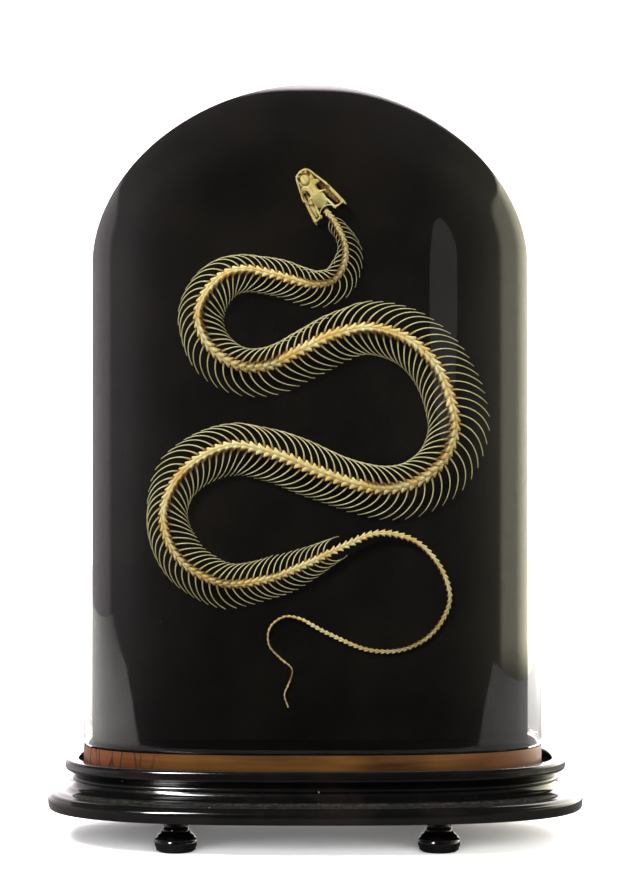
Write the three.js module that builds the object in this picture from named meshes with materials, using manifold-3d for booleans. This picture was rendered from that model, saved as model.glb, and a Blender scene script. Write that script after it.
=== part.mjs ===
// Skeleton of a colubrid snake, mounted in loops on a black arched panel, under an
// oval glass dome on an ebonised plinth with four turned feet.
// Millimetres. +X is to the viewer's right, +Y away from the viewer, +Z up.
// The origin is on the floor, under the middle of the plinth.

import * as THREE from 'three';
import { mergeVertices } from 'three/addons/utils/BufferGeometryUtils.js';
import Module from 'manifold-3d';

const wasm = await Module();
wasm.setup();

// ---- driving dimensions -------------------------------------------------------------

const gap = 0.3; // clearance between two pieces that touch
const ovalPower = 2.8; // plan of the mount: 2 is an ellipse, more is squarer
const ovalSides = 30; // facets round the plan

const footHeight = 21;
const footSides = 9;
const footSpacingX = 163.4; // between the two front feet
const footSpacingY = 124;
const footShiftX = -4.8;

const plinthHalfWidth = 171.4;
const plinthHalfDepth = 98.4;
const plinthTop = 52;
const pocketInset = 19.5; // from the plinth's widest line to the pocket wall
const pocketFloor = 43;

const domeShiftX = -1.7;
const domeHalfWidth = 147.3;
const domeHalfDepth = 75.5;
const domeTop = 489.8;
const domeRiseFront = 119; // height of the arch seen from the front
const domeRiseSide = 84; // and from the side
const archPower = 1.9;
const archRings = 7;
const glassThickness = 3;

const boardHalfWidth = 147;
const boardHalfDepth = 75.2;
const boardTop = 60.8;
const boardChamfer = 0.8;

const panelShiftX = -3.6;
const panelHalfWidth = 141;
const panelTop = 484.6;
const panelRise = 115.6;
const panelFront = -4; // Y of the face that carries the skeleton
const panelThickness = 6;
const panelArchSteps = 32;

const skullLength = 28; // snout to the back of the braincase
const skullTurn = 35; // degrees, the snout leans to the viewer's left of straight up
const skullRoll = 17; // degrees, the crown tips towards the animal's left
const snoutX = -9.2;
const snoutZ = 428.2;
const skullLift = 3.3; // from the panel to the middle of the jaws' underside

const ribbedLength = 744; // from the skull to the vent
const ribFreeVertebrae = 2; // atlas and axis
const neckLength = 50;
const trunkCuts = [140, 245, 370, 485, 600]; // along the body
const tailCuts = [835, 930];
const rollRadius = 18; // the back tips outwards by this radius over the bend's radius

// ---- colours and finishes -----------------------------------------------------------

const finishes = {
  lacquer: { color: '#0b0a0a', roughness: 0.12, metalness: 0 },
  boardWood: { color: '#7a4527', roughness: 0.6, metalness: 0 },
  glass: { color: '#dfe6e4', roughness: 0.03, metalness: 0, transparent: true, opacity: 0.25 },
  blackCloth: { color: '#17171a', roughness: 0.95, metalness: 0 },
  skullBone: { color: '#d9c78f', roughness: 0.5, metalness: 0 },
  bone: { color: '#d2b06c', roughness: 0.55, metalness: 0 },
};

const object = new THREE.Group();

function addPiece(name, geometry, finish) {
  const mesh = new THREE.Mesh(geometry, new THREE.MeshStandardMaterial(finishes[finish]));
  mesh.name = name;
  object.add(mesh);
  return mesh;
}

// ---- geometry helpers ---------------------------------------------------------------

// One closed mesh with shared corners and no flat triangles of zero area.
function closedMesh(geometry) {
  const bare = geometry.clone();
  bare.deleteAttribute('normal');
  bare.deleteAttribute('uv');
  const merged = mergeVertices(bare, 1e-4);
  const corners = merged.index.array;
  const kept = [];
  for (let i = 0; i < corners.length; i += 3) {
    const [a, b, c] = corners.slice(i, i + 3);
    if (a !== b && b !== c && c !== a) kept.push(a, b, c);
  }
  merged.setIndex(kept);
  merged.computeVertexNormals();
  return merged;
}

function toSolid(geometry) {
  const mesh = closedMesh(geometry);
  const vertProperties = new Float32Array(mesh.attributes.position.array);
  const triVerts = new Uint32Array(mesh.index.array);
  return new wasm.Manifold(new wasm.Mesh({ numProp: 3, vertProperties, triVerts }));
}

function toGeometry(solid) {
  const mesh = solid.getMesh();
  const geometry = new THREE.BufferGeometry();
  geometry.setAttribute('position', new THREE.BufferAttribute(mesh.vertProperties, 3));
  geometry.setIndex(new THREE.BufferAttribute(mesh.triVerts, 1));
  geometry.computeVertexNormals();
  return geometry;
}

function joined(geometries) {
  return geometries.map(toSolid).reduce((whole, piece) => whole.add(piece));
}

// Straight-line interpolation in rows of [place, value].
function valueAt(rows, place) {
  const next = rows.findIndex((row) => row[0] >= place);
  if (next < 0) return rows[rows.length - 1][1];
  if (next === 0) return rows[0][1];
  const [fromPlace, fromValue] = rows[next - 1];
  const [toPlace, toValue] = rows[next];
  return fromValue + ((toValue - fromValue) * (place - fromPlace)) / (toPlace - fromPlace);
}

function rounded(value, power) {
  return Math.sign(value) * Math.abs(value) ** (2 / power);
}

// A turned form with an oval plan. Each row of the profile is [half width, half depth, height].
function ovalLathe(profile) {
  const points = profile.map(([halfWidth, , height]) => new THREE.Vector2(halfWidth, height));
  const geometry = new THREE.LatheGeometry(points, ovalSides);
  const position = geometry.attributes.position;
  for (let i = 0; i < position.count; i++) {
    const [halfWidth, halfDepth, height] = profile[i % profile.length];
    const side = Math.floor(i / profile.length) % ovalSides;
    const angle = (side / ovalSides) * 2 * Math.PI;
    const x = halfWidth * rounded(Math.sin(angle), ovalPower);
    const y = -halfDepth * rounded(Math.cos(angle), ovalPower);
    position.setXYZ(i, x, y, height);
  }
  return closedMesh(geometry);
}

// A tapering bar along a smooth line. Each row is [x, y, z, half width, half height].
function bar(rows, sides, steps) {
  const line = new THREE.CatmullRomCurve3(rows.map(([x, y, z]) => new THREE.Vector3(x, y, z)));
  const widths = rows.map((row, i) => [i / (rows.length - 1), row[3]]);
  const heights = rows.map((row, i) => [i / (rows.length - 1), row[4]]);
  const geometry = new THREE.CylinderGeometry(1, 1, 1, sides, steps);
  const position = geometry.attributes.position;
  for (let i = 0; i < position.count; i++) {
    const along = THREE.MathUtils.clamp(0.5 - position.getY(i), 0, 1);
    const ahead = line.getTangent(along);
    const across = new THREE.Vector3(0, 0, 1).cross(ahead).normalize();
    const up = new THREE.Vector3().crossVectors(ahead, across);
    const point = line.getPoint(along);
    point.addScaledVector(across, position.getX(i) * valueAt(widths, along));
    point.addScaledVector(up, position.getZ(i) * valueAt(heights, along));
    position.setXYZ(i, point.x, point.y, point.z);
  }
  return geometry;
}

function mirrored(rows) {
  return rows.map(([x, ...rest]) => [-x, ...rest]);
}

function ellipsoid([x, y, z], [radiusX, radiusY, radiusZ]) {
  const geometry = new THREE.SphereGeometry(1, 8, 6);
  geometry.scale(radiusX, radiusY, radiusZ);
  geometry.translate(x, y, z);
  return geometry;
}

// ---- plinth, board, dome, panel and feet --------------------------------------------

// Moulding from the underside up: torus, apron, scotia, ovolo, lip.
// Each row is [inset from the widest line, height].
const plinthMoulding = [
  [2, footHeight],
  [0.4, 23.2],
  [0, 27],
  [1.4, 29.6],
  [5.6, 31.6],
  [12.4, 34],
  [16.8, 37.8],
  [17, 41.4],
  [13.8, 44.4],
  [11.6, 46.2],
  [11.1, 50.2],
  [12.6, plinthTop],
  [pocketInset, plinthTop],
  [pocketInset, pocketFloor],
];

function makePlinth() {
  const rows = plinthMoulding.map(([inset, height]) => [
    plinthHalfWidth - inset,
    plinthHalfDepth - inset,
    height,
  ]);
  return ovalLathe([[0, 0, footHeight], ...rows, [0, 0, pocketFloor]]);
}

function makeBoard() {
  const bottom = pocketFloor + gap;
  const geometry = ovalLathe([
    [0, 0, bottom],
    [boardHalfWidth, boardHalfDepth, bottom],
    [boardHalfWidth, boardHalfDepth, boardTop - boardChamfer],
    [boardHalfWidth - boardChamfer, boardHalfDepth - boardChamfer, boardTop],
    [0, 0, boardTop],
  ]);
  return geometry.translate(domeShiftX, 0, 0);
}

// Half width and half depth of the dome at a height. The wall is straight up to the
// spring of the arch, which lies higher at the front and back than at the sides.
function domeRow(height, inset) {
  const halfAt = (half, rise) => {
    const above = Math.max(0, height - (domeTop - rise)) / (rise - inset);
    const share = Math.max(0, 1 - above ** archPower);
    return (half - inset) * share ** (1 / archPower);
  };
  return [halfAt(domeHalfWidth, domeRiseFront), halfAt(domeHalfDepth, domeRiseSide), height];
}

function domeWall(inset) {
  const top = domeTop - inset;
  const spring = domeTop - domeRiseFront;
  const rows = [];
  for (let i = 0; i <= archRings; i++) {
    const height = spring + (top - spring) * Math.sin(((i / archRings) * Math.PI) / 2);
    rows.push(domeRow(height, inset));
  }
  rows[archRings] = [0, 0, top];
  return rows;
}

function makeDome() {
  const rim = boardTop + gap; // the glass stands on the board
  const outer = domeWall(0);
  const inner = domeWall(glassThickness);
  const profile = [...inner.reverse(), domeRow(rim, glassThickness), domeRow(rim, 0), ...outer];
  return ovalLathe(profile).translate(domeShiftX, 0, 0);
}

function makePanel() {
  const bottom = boardTop + gap;
  const spring = panelTop - panelRise;
  const outline = new THREE.Shape();
  outline.moveTo(-panelHalfWidth, bottom);
  outline.lineTo(panelHalfWidth, bottom);
  for (let i = 0; i <= panelArchSteps; i++) {
    const angle = (i / panelArchSteps) * Math.PI;
    const x = panelHalfWidth * rounded(Math.cos(angle), archPower);
    const z = spring + panelRise * rounded(Math.sin(angle), archPower);
    outline.lineTo(x, z);
  }
  const geometry = new THREE.ExtrudeGeometry(outline, { depth: panelThickness, bevelEnabled: false });
  geometry.rotateX(Math.PI / 2); // the outline's height turns to +Z, its depth to -Y
  geometry.translate(panelShiftX, panelFront + panelThickness, 0);
  return closedMesh(geometry);
}

// Radius and height of the turned foot, from the floor up: bun, flare and neck.
const footTurning = [
  [0, 0],
  [11, 0],
  [12.8, 1.6],
  [13.1, 6.4],
  [11.6, 10.2],
  [9.4, 13.4],
  [7.5, 16.2],
  [7.3, footHeight - gap],
  [0, footHeight - gap],
];

function makeFoot() {
  const points = footTurning.map(([radius, height]) => new THREE.Vector2(radius, height));
  const geometry = new THREE.LatheGeometry(points, footSides);
  geometry.rotateX(Math.PI / 2);
  return closedMesh(geometry);
}

// ---- the line of the body -----------------------------------------------------------

// Points [x, z] that the backbone passes, from the skull to the tip of the tail.
const backboneRoute = [
  [6.4, 402.4], [11.7, 395.5], [18.8, 380], [18.3, 368], [12, 357.8], [0.5, 354.9],
  [-12, 357], [-30, 361.8], [-45, 364.2], [-58, 361], [-70, 349], [-74.8, 335],
  [-71.5, 321.5], [-63, 310.6], [-48, 302.5], [-30, 303], [-10, 312.2], [12, 322.5],
  [36, 326.5], [60, 319], [76.5, 303], [86.5, 280], [88.8, 260], [80, 240], [64, 228],
  [46, 224], [26, 226.7], [0, 235.6], [-26, 246], [-51.5, 251.2], [-71, 245],
  [-88, 230.5], [-97, 210], [-94.5, 192], [-85, 177], [-72, 168], [-57, 163],
  [-30, 166], [-5, 175.7], [18.5, 187], [41, 195.1], [64.2, 189.7], [80.4, 172.6],
  [86.4, 153.5], [81.4, 138.9], [70.3, 126.8], [54.3, 119.8], [34.2, 120], [6, 131.5],
  [-10, 139.8], [-20, 141], [-29, 134.2], [-29.7, 123.2], [-21.6, 113.7], [-15.1, 107.1],
  [-17.5, 97.2], [-19.8, 90.8], [-17.4, 82.8],
];
const backbone = new THREE.CatmullRomCurve3(
  backboneRoute.map(([x, z]) => new THREE.Vector3(x, 0, z)),
  false,
  'centripetal',
);
backbone.arcLengthDivisions = 2000;
const bodyLength = backbone.getLength();

// How the body changes on its way back. Each row is [distance from the skull, size].
const vertebraLengths = [
  [0, 3.1], [60, 4.5], [150, 5.2], [260, 5.4], [560, 5.3], [744, 4.3], [945, 3.4], [1046, 2.9],
];
const columnWidths = [
  [0, 1.9], [40, 2.3], [80, 2.7], [150, 3.3], [260, 3.6], [510, 3.6], [600, 3], [744, 2.3],
  [810, 1.7], [894, 1.35], [960, 1.1], [1000, 0.8], [1046, 0.5],
];
const columnLifts = [
  [0, 7.6], [60, 8.5], [150, 11], [600, 11], [744, 8.5], [830, 3.4], [920, 2.2], [1046, 1.2],
];
const ribLengths = [[0, 9], [48, 18], [150, 20], [280, 25], [520, 24], [650, 20], [744, 14]];
const leftReaches = [
  [0, 5.1], [13, 3.4], [22, 3.8], [32, 7], [51, 7], [70, 10.9], [89, 8.3], [115, 12.8],
  [147, 14], [166, 17.9], [211, 20.4], [243, 19.8], [259, 16.6], [358, 16.6], [409, 12.8],
  [460, 14], [479, 16], [517, 14], [568, 16.6], [594, 10.2], [632, 14.7], [667, 17.2],
  [690, 13.4], [709, 13.4], [744, 6.4],
];
const rightReaches = [
  [0, 3.4], [19, 10.9], [48, 15.3], [70, 12.8], [137, 16.6], [175, 11.5], [217, 9],
  [243, 11.5], [265, 17.9], [345, 23.6], [410, 22.3], [450, 18.3], [530, 19.2], [578, 14],
  [623, 16.6], [670, 12.1], [699, 13.4], [744, 6.4],
];

const wideShare = 1.28; // half width over the joints, where the articular wings spread
const waistShare = 0.82; // half width between two joints
const waistPlace = 0.3; // of the vertebra's length, behind its front joint
const spineShare = 1.05; // height of the neural ridge over the half width
const centrumShare = 0.9; // depth of the centrum under it
const ribSeat = { place: 0.14, width: 0.72, depth: 0.34 }; // lower corner of the rib's root

// A rib bends from sideways towards the tail. Its mean heading follows from how far out
// its length reaches, and the shorter the reach, the more it bends.
const ribLeastBend = 8; // degrees either side of the mean heading
const ribBendShare = 0.55; // of the mean heading, added to it
const ribShares = [0.3, 0.97]; // least and greatest reach over the length
const ribRadii = [0.48, 0.4]; // of the triangular section, at the two rings
const ribRings = [0.36, 0.76]; // places of the rings along the rib
const ribTipLift = 0.9; // centre of the tip over the panel
const ribPlunge = 80; // degrees of the quarter turn that a rib makes down to the panel

function bendAt(distance) {
  const reach = 6;
  const from = backbone.getTangentAt(THREE.MathUtils.clamp((distance - reach) / bodyLength, 0, 1));
  const to = backbone.getTangentAt(THREE.MathUtils.clamp((distance + reach) / bodyLength, 0, 1));
  return (from.x * to.z - from.z * to.x) / (2 * reach); // over 0 where it turns anticlockwise
}

// A point by its distance along the backbone, its offset to the animal's left and its
// height over the middle of the column.
function bodyPoint(distance, leftward, height) {
  const share = THREE.MathUtils.clamp(distance / bodyLength, 0, 1);
  const point = backbone.getPointAt(share);
  const tangent = backbone.getTangentAt(share);
  point.x += leftward * tangent.z;
  point.z -= leftward * tangent.x;
  point.y = panelFront - valueAt(columnLifts, distance) - height;
  return point;
}

// The same for a point of the column, which rolls outwards on a bend.
function columnPoint(distance, leftward, height) {
  const roll = Math.atan(rollRadius * bendAt(distance));
  const sideways = leftward * Math.cos(roll) + height * Math.sin(roll);
  const upwards = height * Math.cos(roll) - leftward * Math.sin(roll);
  return bodyPoint(distance, sideways, upwards);
}

const joints = [0];
while (joints[joints.length - 1] + 2 < bodyLength) {
  const last = joints[joints.length - 1];
  joints.push(Math.min(bodyLength, last + valueAt(vertebraLengths, last)));
}

// ---- a length of the body -----------------------------------------------------------

// Triangles with shared corners. Faces are listed as seen from outside on the animal's
// left, and are turned over for its right.
class Skin {
  constructor() {
    this.corners = [];
    this.faces = [];
  }

  corner(point) {
    this.corners.push(point.x, point.y, point.z);
    return this.corners.length / 3 - 1;
  }

  face(side, a, b, c) {
    this.faces.push(...(side > 0 ? [a, b, c] : [a, c, b]));
  }

  geometry() {
    const geometry = new THREE.BufferGeometry();
    geometry.setAttribute('position', new THREE.Float32BufferAttribute(this.corners, 3));
    geometry.setIndex(this.faces);
    geometry.computeVertexNormals();
    return geometry;
  }
}

// Place and heading of a rib at a share of its length.
function ribPlace(distance, side, start, along) {
  const reach = valueAt(side > 0 ? leftReaches : rightReaches, distance) - start.outward;
  const share = THREE.MathUtils.clamp(reach / valueAt(ribLengths, distance), ...ribShares);
  const mean = Math.acos(share);
  const halfTurn = THREE.MathUtils.degToRad(ribLeastBend) + ribBendShare * mean;
  const from = mean - halfTurn;
  const heading = from + 2 * halfTurn * along;
  const radius = reach / (Math.sin(from + 2 * halfTurn) - Math.sin(from));
  const plunge = THREE.MathUtils.degToRad(ribPlunge);
  const drop = valueAt(columnLifts, distance) + start.height - ribTipLift;
  const fall = (1 - Math.cos(plunge * along)) / (1 - Math.cos(plunge));
  return {
    distance: distance + start.back + radius * (Math.cos(from) - Math.cos(heading)),
    outward: start.outward + radius * (Math.sin(heading) - Math.sin(from)),
    height: start.height - drop * fall,
    heading,
  };
}

function addRib(skin, distance, length, side, halfWidth, root) {
  const start = { outward: 0.85 * halfWidth, height: -0.15 * halfWidth, back: 0.22 * length };
  let ring = root;
  for (let i = 0; i < ribRings.length; i++) {
    const place = ribPlace(distance, side, start, ribRings[i]);
    const behind = { back: Math.cos(place.heading), outward: -Math.sin(place.heading) };
    const corner = (across, up) => skin.corner(bodyPoint(
      place.distance + ribRadii[i] * across * behind.back,
      side * (place.outward + ribRadii[i] * across * behind.outward),
      place.height + ribRadii[i] * up,
    ));
    const next = [corner(0.87, 0.6), corner(-0.87, 0.6), corner(0, -0.9)];
    for (let k = 0; k < 3; k++) {
      const after = (k + 1) % 3;
      skin.face(side, ring[k], ring[after], next[after]);
      skin.face(side, ring[k], next[after], next[k]);
    }
    ring = next;
  }
  const end = ribPlace(distance, side, start, 1);
  const tip = skin.corner(bodyPoint(end.distance, side * end.outward, end.height));
  for (let k = 0; k < 3; k++) skin.face(side, ring[k], ring[(k + 1) % 3], tip);
}

// The vertebrae from one joint to another, with the ribs of the sides that are asked
// for. A single side has a flat face along the middle, half the gap off it.
function makeLength(firstJoint, lastJoint, sides) {
  const skin = new Skin();
  const single = sides.length === 1;
  const middle = single ? (sides[0] * gap) / 2 : 0;
  const startTrim = firstJoint === 0 ? 0 : gap / 2;
  const ridge = [];
  const keel = [];
  const wings = { 1: [], '-1': [] };
  for (let i = firstJoint; i <= lastJoint; i++) {
    const trim = i === firstJoint ? startTrim : i === lastJoint ? -gap / 2 : 0;
    const place = joints[i] + trim;
    const halfWidth = valueAt(columnWidths, place);
    ridge.push(skin.corner(columnPoint(place, middle, spineShare * halfWidth)));
    keel.push(skin.corner(columnPoint(place, middle, -centrumShare * halfWidth)));
    for (const side of sides) {
      wings[side].push(skin.corner(columnPoint(place, side * wideShare * halfWidth, 0)));
    }
  }
  for (const side of sides) {
    const wing = wings[side];
    for (let k = 0; k < lastJoint - firstJoint; k++) {
      const front = joints[firstJoint + k];
      const length = joints[firstJoint + k + 1] - front;
      const halfWidth = valueAt(columnWidths, front);
      const waistAt = front + waistPlace * length;
      const waist = skin.corner(columnPoint(waistAt, side * waistShare * halfWidth, 0));
      skin.face(side, ridge[k], wing[k], waist);
      skin.face(side, ridge[k], waist, ridge[k + 1]);
      skin.face(side, ridge[k + 1], waist, wing[k + 1]);
      skin.face(side, wing[k + 1], waist, keel[k + 1]);
      if (front < ribbedLength) {
        const seatAt = front + ribSeat.place * length;
        const seatOut = side * ribSeat.width * halfWidth;
        const seat = skin.corner(columnPoint(seatAt, seatOut, -ribSeat.depth * halfWidth));
        skin.face(side, wing[k], keel[k], seat);
        skin.face(side, seat, keel[k], keel[k + 1]);
        skin.face(side, waist, seat, keel[k + 1]);
        if (firstJoint + k < ribFreeVertebrae) skin.face(side, waist, wing[k], seat);
        else addRib(skin, front, length, side, halfWidth, [waist, wing[k], seat]);
      } else {
        skin.face(side, wing[k], keel[k], waist);
        skin.face(side, waist, keel[k], keel[k + 1]);
      }
      if (single) {
        skin.face(side, ridge[k], ridge[k + 1], keel[k + 1]);
        skin.face(side, ridge[k], keel[k + 1], keel[k]);
      }
    }
    const end = lastJoint - firstJoint;
    skin.face(side, ridge[0], keel[0], wing[0]);
    skin.face(side, ridge[end], wing[end], keel[end]);
  }
  return skin.geometry();
}

function jointNear(distance) {
  return joints.findIndex((place) => place >= distance);
}

// ---- skull --------------------------------------------------------------------------

// The skull's own axes: x to the animal's left, y back from the snout, z to the crown,
// with z = 0 at the underside of the jaws.

// Braincase and snout, as [distance back, half width, height of the top, of the bottom].
const craniumStations = [
  [0.3, 1.7, 3.1, 1.9],
  [1.1, 3.3, 3.7, 1.8],
  [2.6, 4.4, 4.2, 1.8],
  [5.2, 5.1, 4.8, 1.8],
  [8.5, 5.1, 5.4, 1.9],
  [12, 4.7, 5.9, 2.1],
  [15.5, 4.1, 6.2, 2.2],
  [18.5, 4.5, 6.7, 2.1],
  [21.5, 4.8, 7.1, 2],
  [24.5, 4.5, 6.8, 2],
  [27, 3.5, 6, 2.2],
  [skullLength, 2.2, 5.2, 2.6],
];
const craniumSides = 14;
const craniumPower = 2.4;

function makeCraniumCore(margin = 0) {
  const last = craniumStations.length - 1;
  const geometry = new THREE.CylinderGeometry(1, 1, 1, craniumSides, last);
  const position = geometry.attributes.position;
  for (let i = 0; i < position.count; i++) {
    const row = Math.round((0.5 - position.getY(i)) * last);
    const [back, halfWidth, top, bottom] = craniumStations[row];
    const across = rounded(position.getX(i), craniumPower) * (halfWidth + margin);
    const up = rounded(position.getZ(i), craniumPower) * ((top - bottom) / 2 + margin);
    position.setXYZ(i, -across, back, (top + bottom) / 2 + up);
  }
  return geometry;
}

// Bars of one side, as rows of [left, back, height, half width, half height].
const orbit = { centre: [6.2, 15.2, 4.7], radii: [2.7, 3.1, 2.6] };
const nostril = { centre: [3.3, 4.2, 5], radii: [1, 2.2, 1.4] };
const prefrontalBar = [[4, 10.9, 5, 0.8, 0.7], [5.7, 11.2, 4.2, 0.7, 0.7], [6.6, 11.4, 3.9, 0.5, 0.6]];
const postorbitalBar = [[4.1, 18.8, 6, 0.9, 0.6], [6.1, 19.2, 5.3, 0.6, 0.6], [7.3, 19.6, 4.3, 0.45, 0.5]];
const temporalBar = [[3.8, 23.4, 5.3, 0.9, 0.5], [5, 27.5, 5.4, 0.9, 0.5], [5.6, 32.6, 5, 0.8, 0.5]];
const quadrateBar = [[5.3, 31.9, 4.8, 0.9, 0.7], [8.2, 32.3, 4.2, 0.8, 0.7], [11.2, 32.2, 3.5, 1, 0.8]];
const maxillaBar = [
  [3.4, 1, 2.5, 0.5, 0.6],
  [5, 2.9, 2.6, 0.6, 0.7],
  [6.1, 6.2, 2.7, 0.65, 0.8],
  [7.5, 10.6, 2.8, 0.65, 0.8],
  [9, 15, 2.9, 0.7, 0.7],
  [9.7, 17.8, 3, 0.6, 0.6],
];
const ectopterygoidBar = [
  [9.4, 17.2, 3, 0.6, 0.5],
  [8.2, 19.7, 2.7, 0.6, 0.45],
  [7, 22.2, 2.3, 0.6, 0.45],
];
const pterygoidBar = [
  [5.3, 12.5, 1.5, 0.5, 0.5],
  [5.8, 17.5, 1.5, 0.6, 0.5],
  [7, 22, 2.1, 0.8, 0.5],
  [7.6, 26.5, 2, 0.8, 0.5],
  [8.5, 30.4, 1.9, 0.6, 0.4],
];
const palatineBridge = [[7.6, 13.2, 2.5, 0.5, 0.5], [6.4, 13.2, 2, 0.5, 0.4], [5.3, 13.4, 1.5, 0.5, 0.4]];
const mandibleBar = [
  [1.5, 0.6, 0.7, 0.5, 0.6],
  [4.4, 2.8, 0.75, 0.6, 0.65],
  [6.2, 8, 0.8, 0.65, 0.75],
  [9, 16.2, 0.95, 0.7, 0.85],
  [10.6, 25, 1.15, 0.8, 1.05],
  [11.3, 30.6, 1.2, 0.95, 1.1],
  [12, 34.4, 1.1, 0.35, 0.45],
];

function bothSides(rows, sides, steps) {
  return [bar(rows, sides, steps), bar(mirrored(rows), sides, steps)];
}

function makeCranium() {
  let solid = joined([
    makeCraniumCore(),
    ...bothSides(prefrontalBar, 5, 2),
    ...bothSides(postorbitalBar, 5, 2),
    ...bothSides(temporalBar, 5, 2),
    ...bothSides(quadrateBar, 6, 2),
  ]);
  for (const { centre, radii } of [orbit, nostril]) {
    const [x, ...rest] = centre;
    solid = solid.subtract(toSolid(ellipsoid(centre, radii)));
    solid = solid.subtract(toSolid(ellipsoid([-x, ...rest], radii)));
  }
  return toGeometry(solid);
}

function makeUpperJaw(side) {
  const rowsOf = (rows) => (side > 0 ? rows : mirrored(rows));
  const solid = joined([
    bar(rowsOf(maxillaBar), 5, 4),
    bar(rowsOf(ectopterygoidBar), 5, 2),
    bar(rowsOf(pterygoidBar), 5, 4),
    bar(rowsOf(palatineBridge), 4, 1),
  ]);
  return toGeometry(solid.subtract(toSolid(makeCraniumCore(gap))));
}

function makeMandible(side) {
  return closedMesh(bar(side > 0 ? mandibleBar : mirrored(mandibleBar), 6, 8));
}

function skullGroup() {
  const turn = THREE.MathUtils.degToRad(skullTurn);
  const roll = THREE.MathUtils.degToRad(skullRoll);
  const back = new THREE.Vector3(Math.sin(turn), 0, -Math.cos(turn));
  const flatLeft = new THREE.Vector3(-Math.cos(turn), 0, -Math.sin(turn));
  const out = new THREE.Vector3(0, -1, 0);
  const crown = out.clone().multiplyScalar(Math.cos(roll)).addScaledVector(flatLeft, Math.sin(roll));
  const left = new THREE.Vector3().crossVectors(back, crown);
  const group = new THREE.Group();
  group.quaternion.setFromRotationMatrix(new THREE.Matrix4().makeBasis(left, back, crown));
  group.position.set(snoutX, panelFront - skullLift, snoutZ);
  return group;
}

// ---- assembly -----------------------------------------------------------------------

addPiece('plinth', makePlinth(), 'lacquer');
addPiece('board', makeBoard(), 'boardWood');
addPiece('dome', makeDome(), 'glass');
addPiece('panel', makePanel(), 'blackCloth');

const footPlaces = { front_left: [-1, -1], front_right: [1, -1], back_left: [-1, 1], back_right: [1, 1] };
for (const [name, [x, y]] of Object.entries(footPlaces)) {
  const foot = addPiece(`foot_${name}`, makeFoot(), 'lacquer');
  foot.position.set(footShiftX + (x * footSpacingX) / 2, (y * footSpacingY) / 2, 0);
}

const skull = skullGroup();
object.add(skull);
skull.add(addPiece('cranium', makeCranium(), 'skullBone'));
for (const [name, side] of [['left', 1], ['right', -1]]) {
  skull.add(addPiece(`upper_jaw_${name}`, makeUpperJaw(side), 'skullBone'));
  skull.add(addPiece(`lower_jaw_${name}`, makeMandible(side), 'skullBone'));
}

const neckEnd = jointNear(neckLength);
addPiece('neck', makeLength(0, neckEnd, [1, -1]), 'bone');

const trunkEnds = [neckEnd, ...trunkCuts.map(jointNear), jointNear(ribbedLength)];
for (let i = 1; i < trunkEnds.length; i++) {
  addPiece(`trunk_${i}_left`, makeLength(trunkEnds[i - 1], trunkEnds[i], [1]), 'bone');
  addPiece(`trunk_${i}_right`, makeLength(trunkEnds[i - 1], trunkEnds[i], [-1]), 'bone');
}

const tailEnds = [jointNear(ribbedLength), ...tailCuts.map(jointNear), joints.length - 1];
for (let i = 1; i < tailEnds.length; i++) {
  addPiece(`tail_${i}`, makeLength(tailEnds[i - 1], tailEnds[i], [1, -1]), 'bone');
}

export default object;
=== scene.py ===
import math
import bpy
import bmesh
from mathutils import Matrix, Vector, noise


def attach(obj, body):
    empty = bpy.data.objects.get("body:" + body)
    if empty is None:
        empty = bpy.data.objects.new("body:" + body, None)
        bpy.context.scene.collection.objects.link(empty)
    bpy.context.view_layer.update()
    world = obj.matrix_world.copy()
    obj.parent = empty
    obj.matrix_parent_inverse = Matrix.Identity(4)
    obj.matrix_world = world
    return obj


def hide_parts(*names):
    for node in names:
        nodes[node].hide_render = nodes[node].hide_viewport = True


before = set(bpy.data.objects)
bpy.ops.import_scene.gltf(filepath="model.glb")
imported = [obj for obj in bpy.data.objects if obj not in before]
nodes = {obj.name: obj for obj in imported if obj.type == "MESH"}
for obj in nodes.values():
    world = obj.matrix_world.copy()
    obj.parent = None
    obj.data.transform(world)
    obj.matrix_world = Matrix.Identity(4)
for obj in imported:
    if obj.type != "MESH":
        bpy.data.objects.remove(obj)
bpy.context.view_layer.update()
mm = 0.001
print("frame loaded,", len(nodes), "solids")


# an sRGB hex colour as linear values
def hexColour(text):
    channels = [int(text[i:i + 2], 16) / 255 for i in (1, 3, 5)]
    linear = [c / 12.92 if c <= 0.04045 else ((c + 0.055) / 1.055) ** 2.4 for c in channels]
    return (*linear, 1.0)


# inputs go by name, or by number as i0, and take a value, a hex colour, a socket or a node's first output
def feed(node, **inputs):
    for name, value in inputs.items():
        key = int(name[1:]) if name[0] == "i" and name[1:].isdigit() else name.replace("_", " ")
        if isinstance(value, bpy.types.Node):
            value = next(socket for socket in value.outputs if socket.enabled)
        if isinstance(value, str):
            value = hexColour(value)
        if isinstance(value, bpy.types.NodeSocket):
            node.id_data.links.new(value, node.inputs[key])
        else:
            node.inputs[key].default_value = value


# stops are the two ends of a colour ramp
def addNode(tree, kind, settings=None, stops=(), **inputs):
    node = tree.nodes.new("ShaderNode" + kind)
    for name, value in (settings or {}).items():
        setattr(node, name, value)
    for mark, (place, colour) in zip(node.color_ramp.elements if stops else (), stops):
        mark.position = place
        mark.color = hexColour(colour) if isinstance(colour, str) else (colour, colour, colour, 1)
    feed(node, **inputs)
    return node


def newMaterial(name):
    material = bpy.data.materials.new(name)
    material.use_nodes = True
    tree = material.node_tree
    tree.nodes.clear()
    shader = addNode(tree, "BsdfPrincipled")
    output = addNode(tree, "OutputMaterial", Surface=shader)
    return material, tree, shader, output


rgba = {"data_type": "RGBA"}
inMm = (1000, 1000, 1000)


def objectPoint(tree, scale=(1, 1, 1)):
    place = addNode(tree, "TexCoord").outputs["Object"]
    return addNode(tree, "Mapping", Vector=place, Scale=scale)


def multiplied(tree, *factors):
    product = factors[0]
    for factor in factors[1:]:
        product = addNode(tree, "Math", {"operation": "MULTIPLY"}, i0=product, i1=factor)
    return product


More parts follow.
